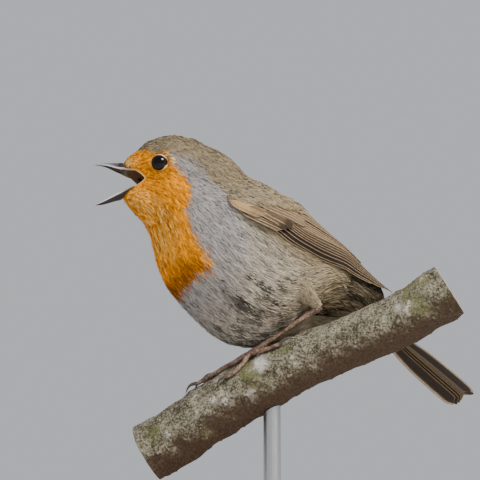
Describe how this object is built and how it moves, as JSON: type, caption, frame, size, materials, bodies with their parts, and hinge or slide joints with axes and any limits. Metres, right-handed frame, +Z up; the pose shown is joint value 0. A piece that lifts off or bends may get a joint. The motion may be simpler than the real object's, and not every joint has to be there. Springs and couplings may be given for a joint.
{
  "type": "European robin, still display model",
  "caption": "Life-size singing robin with its bill open, gripping a cut length of branch on a plain display stand.",
  "frame": {"origin": "middle of the stand's flat underside", "axes": "+Z up; the bird faces -X, with its left side towards -Y"},
  "size_m": [0.1231, 0.096, 0.161],
  "materials": {
    "plumage": "soft contour feathers: orange face and breast, blue-grey border, olive-brown back, whitish belly",
    "flight_feathers": "firm brown wing and tail feathers with buff edges",
    "bill": "dark brown horn, satin",
    "eye": "wet black-brown eye",
    "leg_skin": "pinkish-brown scaled skin",
    "claw": "dark horn",
    "bark": "grey-brown bark with green-grey lichen",
    "stand_wood": "turned hardwood, satin lacquer",
    "stand_steel": "brushed steel rod"
  },
  "bodies": {
    "root": {"head": "plumage", "neck": "plumage", "trunk": "plumage", "rump": "plumage", "thigh_left": "plumage", "thigh_right": "plumage", "wing_left": "flight_feathers", "wing_right": "flight_feathers", "tail": "flight_feathers", "upper_bill": "bill", "lower_bill": "bill", "eye_left": "eye", "eye_right": "eye", "tarsus_left": "leg_skin", "tarsus_right": "leg_skin", "foot_left": "leg_skin", "foot_right": "leg_skin", "claw_left_inner": "claw", "claw_left_middle": "claw", "claw_left_outer": "claw", "claw_left_hind": "claw", "claw_right_inner": "claw", "claw_right_middle": "claw", "claw_right_outer": "claw", "claw_right_hind": "claw", "perch": "bark", "stand_base": "stand_wood", "stand_rod": "stand_steel"}
  },
  "joints": []
}
